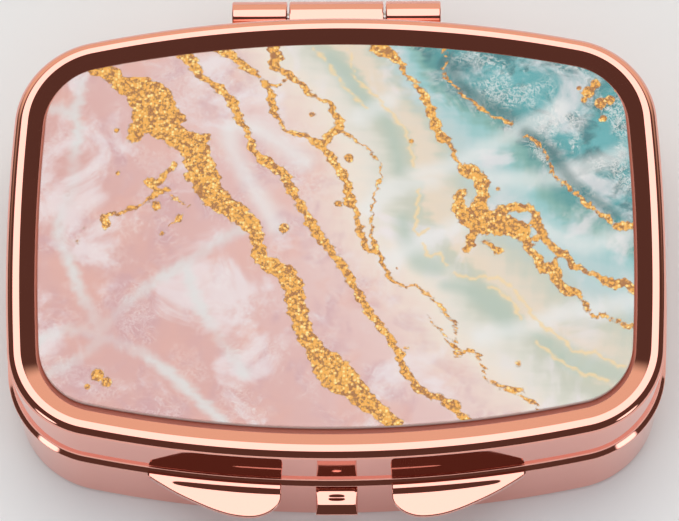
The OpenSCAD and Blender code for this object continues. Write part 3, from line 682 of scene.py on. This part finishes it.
def printMaterial():
    # Glossy paper print: soft marbled inks, hairline white crazing and gold-foil grains with painted glints.
    material, tree = newMaterial("veined_print")
    coords = node(tree, "ShaderNodeTexCoord").outputs["Object"]
    maths, ramp = graphTools(tree)

    def attribute(name):
        return node(tree, "ShaderNodeAttribute", {"attribute_name": name}).outputs["Fac"]

    def noise(scale, detail=4.0, rough=0.5, warp=0.0):
        return node(tree, "ShaderNodeTexNoise", {"Scale": scale, "Detail": detail, "Roughness": rough,
                    "Distortion": warp}, {"Vector": coords}).outputs["Fac"]

    def swing(scale, amount, detail=4.0, rough=0.5, warp=0.0):
        return maths("MULTIPLY", maths("SUBTRACT", noise(scale, detail, rough, warp), 0.5), amount)

    def mixed(factor, first, second):
        made = node(tree, "ShaderNodeMix", {"data_type": "RGBA"})
        for socket, source in ((0, factor), (6, first), (7, second)):
            if isinstance(source, (int, float, tuple)):
                made.inputs[socket].default_value = source
            else:
                tree.links.new(source, made.inputs[socket])
        return made.outputs[2]

    def colourRamp(value, stops, low, high):
        made = node(tree, "ShaderNodeValToRGB")
        span = node(tree, "ShaderNodeMapRange", {"From Min": float(low), "From Max": float(high)},
                    {"Value": value})
        tree.links.new(span.outputs["Result"], made.inputs[0])
        elements = made.color_ramp.elements
        elements.remove(elements[-1])
        for i, (position, hexColour) in enumerate(stops):
            at = (position - low) / (high - low)
            element = elements[0] if i == 0 else elements.new(at)
            element.position = at
            element.color = linear(hexColour)
        return made.outputs["Color"]

    band = attribute("band")
    place = maths("ADD", maths("ADD", band, swing(190, 0.55, 3, 0.5, 0.4)), swing(900, 0.12, 4, 0.6))
    ink = colourRamp(place, printLook["bands"], -3, 4)
    pinkSide, tealSide = ramp(band, 0.05, -0.6), ramp(band, 1.93, 2.05)
    # pink mottling: mauve and rose clouds, then ragged white frost
    mauve, rose = ramp(noise(300, 5, 0.6, 0.4), 0.47, 0.66), ramp(noise(210, 4, 0.55, 0.2), 0.5, 0.66)
    frost = ramp(noise(170, 5, 0.6, 0.6), 0.5, 0.66)
    ink = mixed(maths("MULTIPLY", mauve, maths("MULTIPLY", pinkSide, 0.55)), ink, linear(printLook["mauve"]))
    ink = mixed(maths("MULTIPLY", rose, maths("MULTIPLY", pinkSide, 0.5)), ink, linear(printLook["rose"]))
    ink = mixed(maths("MULTIPLY", frost, 0.7), ink, linear(printLook["frost"]))
    deep = maths("MULTIPLY", ramp(noise(300, 6, 0.62, 0.8), 0.46, 0.62), tealSide)
    ink = mixed(maths("MULTIPLY", deep, 0.85), ink, linear(printLook["teal"]))
    ink = mixed(maths("MULTIPLY", ramp(attribute("green"), -0.9, 0.6), 0.7), ink, linear(printLook["green"]))
    # frost: white hairs where a noise crosses its middle, crowded where a broader one is high
    for scale, width, low, high in ((900, 0.045, 0.49, 0.62), (1900, 0.06, 0.5, 0.62)):
        hair = ramp(maths("ABSOLUTE", maths("SUBTRACT", noise(scale, 6, 0.65, 1.5), 0.5)), width, 0.0)
        cloud = ramp(noise(260 + scale * 0.05, 3, 0.5), low, high)
        strength = maths("ADD", maths("MULTIPLY", tealSide, 0.7), maths("MULTIPLY", pinkSide, 0.3))
        amount = maths("MULTIPLY", maths("MULTIPLY", hair, cloud), strength)
        ink = mixed(amount, ink, linear(printLook["hair"]))
    web = ramp(maths("ADD", attribute("web"), swing(700, 0.7, 5, 0.6)), -0.75, 0.15)
    webShare = maths("MULTIPLY", web, ramp(noise(130, 2), 0.35, 0.6, 0.35, 0.85))
    ink = mixed(webShare, ink, linear(printLook["web"]))
    streak = ramp(maths("ADD", attribute("streak"), swing(420, 1.2, 4, 0.6)), -1.2, 0.3)
    ink = mixed(maths("MULTIPLY", streak, 0.62), ink, linear(printLook["streak"]))
    peach = ramp(maths("ADD", attribute("peach"), swing(1200, 0.12)), -0.2, 0.03)
    ink = mixed(maths("MULTIPLY", peach, 0.85), ink, linear(printLook["peach"]))
    # dark shade hugging the upper side of the line through the teal
    ink = mixed(maths("MULTIPLY", ramp(attribute("shade"), -0.8, 0.1), 0.65), ink, linear(printLook["shade"]))
    # gold: half width less distance, plus two noises, so edges break into grains
    gold = attribute("gold")
    ragged = maths("ADD", swing(1300, 0.9, 4, 0.6, 0.3), swing(4200, 0.45, 3, 0.6))
    broad = maths("ADD", gold, maths("MULTIPLY", ragged, ramp(gold, -0.9, 0.3, 0.45, 1.0)))
    amount = maths("MAXIMUM", ramp(broad, 0.0, 0.04), maths("MULTIPLY", ramp(gold, -0.05, 0.03), 0.9))
    # painted glints: each glitter grain gets a random tone, brightest at its centre and darker towards its
    # edges, standing in for light caught by the flakes
    grains = node(tree, "ShaderNodeTexVoronoi", {"Scale": 4300.0}, {"Vector": coords})
    grainGlint = node(tree, "ShaderNodeSeparateColor", links={0: grains.outputs["Color"]}).outputs[0]
    bump = maths("SUBTRACT", grainGlint, maths("MULTIPLY", grains.outputs["Distance"], 0.75))
    low, middle, high = printLook["gold"]
    glintedFoil = colourRamp(bump, [(-0.5, low), (-0.2, low), (0.12, middle), (0.4, middle), (0.75, high)], -0.5, 1)
    ink = mixed(maths("MULTIPLY", ramp(broad, -0.1, 0.0), 0.45), ink, linear(printLook["rim"]))
    ink = mixed(amount, ink, glintedFoil)
    # the cut edge of the card is plain white
    ink = mixed(attribute("cut"), ink, linear(printLook["cut"]))
    shader = node(tree, "ShaderNodeBsdfPrincipled", {"Roughness": 0.35, "Specular IOR Level": 0.2},
                  {"Base Color": ink})
    finishMaterial(tree, shader.outputs["BSDF"])
    return material


def makePanel():
    n, top, low, edge = len(pathAngle), lid["printTop"], lid["printLow"], lid["panelEdge"]
    middleShare, ringCount = 0.008, 150
    shares = np.linspace(middleShare, 1, ringCount)
    rings = [np.column_stack([outlineAt(edge) * share, np.full(n, top)]) for share in shares[:-1]]
    rings += [levelRing(edge - inset, top - drop) for inset, drop in
              ((0.06, 0.0), (0.02, 0.015), (0.0, 0.06), (0.0, 0.3), (0.0, top - low))]
    verts, faces = closedRings(rings, top, low)
    obj = meshObject("veined_panel", verts, faces)
    xy = verts[:, :2]
    # slow sideways waves keep every line from running too straight
    wave = np.stack([0.1 * np.sin(xy[:, 1] * 5.3 + xy[:, 0]) + 0.06 * np.sin(xy[:, 1] * 11),
                     0.1 * np.sin(xy[:, 0] * 4.7 - xy[:, 1]) + 0.06 * np.sin(xy[:, 0] * 12)], 1)
    gold = inkAt(xy + wave, goldVeins, 6)
    for x, y, r in goldSpecks:
        gold = np.maximum(gold, r - np.linalg.norm(xy - (x, y), axis=1))
    values = {"gold": gold, "band": bandAt(xy + wave * 2), "green": inkAt(xy, greenPools, 6),
              "web": inkAt(xy + wave, [[(x, y, 0.15) for x, y in line] for line in whiteWeb]),
              "streak": inkAt(xy, [[(x, y, 0.3) for x, y in line] for line in whiteStreaks]),
              "peach": inkAt(xy + wave, [[(x, y, 0.05) for x, y in line] for line in peachLines]),
              "shade": inkAt(xy - (0.35, 0.35), shadeLines),
              "cut": (verts[:, 2] < top - 0.03).astype(float)}
    for name, data in values.items():
        made = obj.data.attributes.new(name, "FLOAT", "POINT")
        made.data.foreach_set("value", np.ascontiguousarray(data, dtype=np.float32))
    obj.data.materials.append(printMaterial())
    return obj


def coverMaterial():
    # Clear epoxy dome: lets the print through and mirrors a little by Fresnel.
    material, tree = newMaterial("clear_epoxy")
    fresnel = node(tree, "ShaderNodeFresnel", {"IOR": 1.5})
    gloss = node(tree, "ShaderNodeBsdfGlossy", {"Color": (1, 1, 1, 1), "Roughness": 0.02})
    clear = node(tree, "ShaderNodeBsdfTransparent", {"Color": (1, 1, 1, 1)})
    # only the outer side mirrors, so no light is trapped between the two faces
    outer = node(tree, "ShaderNodeMath", {"operation": "SUBTRACT", 0: 1.0},
                 {1: node(tree, "ShaderNodeNewGeometry").outputs["Backfacing"]})
    share = node(tree, "ShaderNodeMath", {"operation": "MULTIPLY"},
                 {0: fresnel.outputs["Fac"], 1: outer.outputs[0]})
    mix = node(tree, "ShaderNodeMixShader", {}, {0: share.outputs[0], 1: clear.outputs["BSDF"],
                                                 2: gloss.outputs["BSDF"]})
    finishMaterial(tree, mix.outputs["Shader"])
    return material


def makeCover():
    top, low, edge = case["height"], lid["coverLow"], lid["panelEdge"]
    profile = [(edge - 0.5, top), (edge - 0.2, top), (edge - 0.06, top - 0.006), (edge - 0.02, top - 0.02),
               (edge, top - 0.04), (edge, low + 0.01), (edge - 0.02, low), (edge - 0.3, low)]
    verts, faces = carried(profile)
    obj = meshObject("clear_dome", verts, faces)
    obj.data.materials.append(coverMaterial())
    return obj


panel = makePanel()
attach(panel, "lid")
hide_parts("print_panel")
cover = makeCover()
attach(cover, "lid")
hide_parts("clear_cover")
print("panel made")

# Stage, light, camera
studio = dict(floor="#F1F4F6", fill=0.8, fillPower=20.0, fillTint=(0.96, 1.0, 1.03), overhead=1.7,
              panelLean=15.0, panelReach=24.0, panelSide=26.0, behind=0.76, behindTint="#FFF7DC",
              dark=0.10, darkTint=(1.0, 0.62, 0.5), spot=2.0, spotTurn=52, spotRise=18)
view = dict(place=(3.78, -114.0, 298.3), target=(0.38, -1.41, 12.2), roll=-0.033, lens=194.1,
            shift=-1 / 679)


def makeStage():
    mesh = bpy.data.meshes.new("floor")
    half = 3.0
    corners = [(-half, -half, 0), (half, -half, 0), (half, half, 0), (-half, half, 0)]
    mesh.from_pydata(corners, [], [(0, 1, 2, 3)])
    floor = bpy.data.objects.new("floor", mesh)
    bpy.context.scene.collection.objects.link(floor)
    material, tree = newMaterial("pale_floor")
    shader = node(tree, "ShaderNodeBsdfPrincipled", {"Base Color": linear(studio["floor"]), "Roughness": 0.9,
                  "Specular IOR Level": 0.0})
    finishMaterial(tree, shader.outputs["BSDF"])
    mesh.materials.append(material)
    fill = bpy.data.lights.new("fill", "AREA")
    fill.shape = "DISK"
    fill.size = 2.4
    fill.color = studio["fillTint"]
    fill.energy = studio["fillPower"] * studio["fill"]
    lamp = bpy.data.objects.new("fill", fill)
    lamp.location = (-0.1, -0.7, 1.5)
    lamp.visible_glossy = False
    bpy.context.scene.collection.objects.link(lamp)


def makeWorld():
    # Room by direction. Lean = angle from straight up towards +Y; side = angle off that plane.
    world = bpy.data.worlds.new("studio")
    bpy.context.scene.world = world
    world.use_nodes = True
    tree = world.node_tree
    tree.nodes.clear()
    way = node(tree, "ShaderNodeTexCoord").outputs["Generated"]
    parts = node(tree, "ShaderNodeSeparateXYZ", links={0: way})

    maths, ramp = graphTools(tree)
    lean = maths("MULTIPLY", maths("ARCTAN2", parts.outputs[1], parts.outputs[2]), 180 / math.pi)
    side = maths("MULTIPLY", maths("ARCSINE", maths("ABSOLUTE", parts.outputs[0])), 180 / math.pi)
    # overhead panel: an ellipse, ((lean - panelLean) / panelReach)^2 + (side / panelSide)^2 < 1
    leanShare = maths("DIVIDE", maths("SUBTRACT", lean, studio["panelLean"]), studio["panelReach"])
    sideShare = maths("DIVIDE", side, studio["panelSide"])
    reach = maths("ADD", maths("POWER", leanShare, 2.0), maths("POWER", sideShare, 2.0))
    overhead = ramp(reach, 1.15, 0.9)
    behind = maths("MULTIPLY", maths("MULTIPLY", ramp(lean, 34, 42), ramp(lean, 125, 100)),
                   ramp(side, 66, 36))
    total = None
    sources = [(overhead, "#FFFFFF", studio["overhead"]), (behind, studio["behindTint"], studio["behind"])]
    for azimuth in (-studio["spotTurn"], studio["spotTurn"]):
        a, e = math.radians(azimuth), math.radians(studio["spotRise"])
        spotWay = (math.sin(a) * math.cos(e), -math.cos(a) * math.cos(e), math.sin(e))
        dot = node(tree, "ShaderNodeVectorMath", {"operation": "DOT_PRODUCT"}, {0: way})
        dot.inputs[1].default_value = spotWay
        sources.append((ramp(dot.outputs["Value"], 0.982, 0.99), "#FFFFFF", studio["spot"]))
    for amount, tint, strength in sources:
        lit = node(tree, "ShaderNodeVectorMath", {"operation": "SCALE"}, {"Scale": amount})
        lit.inputs[0].default_value = [c * strength for c in linear(tint)[:3]]
        added = node(tree, "ShaderNodeVectorMath", {"operation": "ADD"}, {0: lit.outputs[0]})
        if total is None:
            added.inputs[1].default_value = [c * studio["dark"] for c in studio["darkTint"]]
        else:
            tree.links.new(total, added.inputs[1])
        total = added.outputs[0]
    background = node(tree, "ShaderNodeBackground", {"Strength": 1.0}, {"Color": total})
    node(tree, "ShaderNodeOutputWorld", links={"Surface": background.outputs["Background"]})


def makeCamera():
    place, target, roll = Vector(view["place"]) * 0.001, Vector(view["target"]) * 0.001, view["roll"]
    back = (place - target).normalized()
    x = Vector((0, 0, 1)).cross(back).normalized()
    y = back.cross(x)
    xr = x * math.cos(roll) + y * math.sin(roll)
    yr = y * math.cos(roll) - x * math.sin(roll)
    data = bpy.data.cameras.new("camera")
    data.lens, data.sensor_width, data.sensor_fit = view["lens"], 36.0, "HORIZONTAL"
    data.shift_x, data.shift_y = view["shift"], view["shift"]
    data.clip_start, data.clip_end = 0.01, 20
    cam = bpy.data.objects.new("camera", data)
    cam.matrix_world = Matrix(((xr.x, yr.x, back.x, place.x), (xr.y, yr.y, back.y, place.y),
                               (xr.z, yr.z, back.z, place.z), (0, 0, 0, 1)))
    bpy.context.scene.collection.objects.link(cam)
    bpy.context.scene.camera = cam


makeStage()
makeWorld()
makeCamera()
bpy.context.scene.view_settings.view_transform = "Standard"
print("stage, light and camera made")
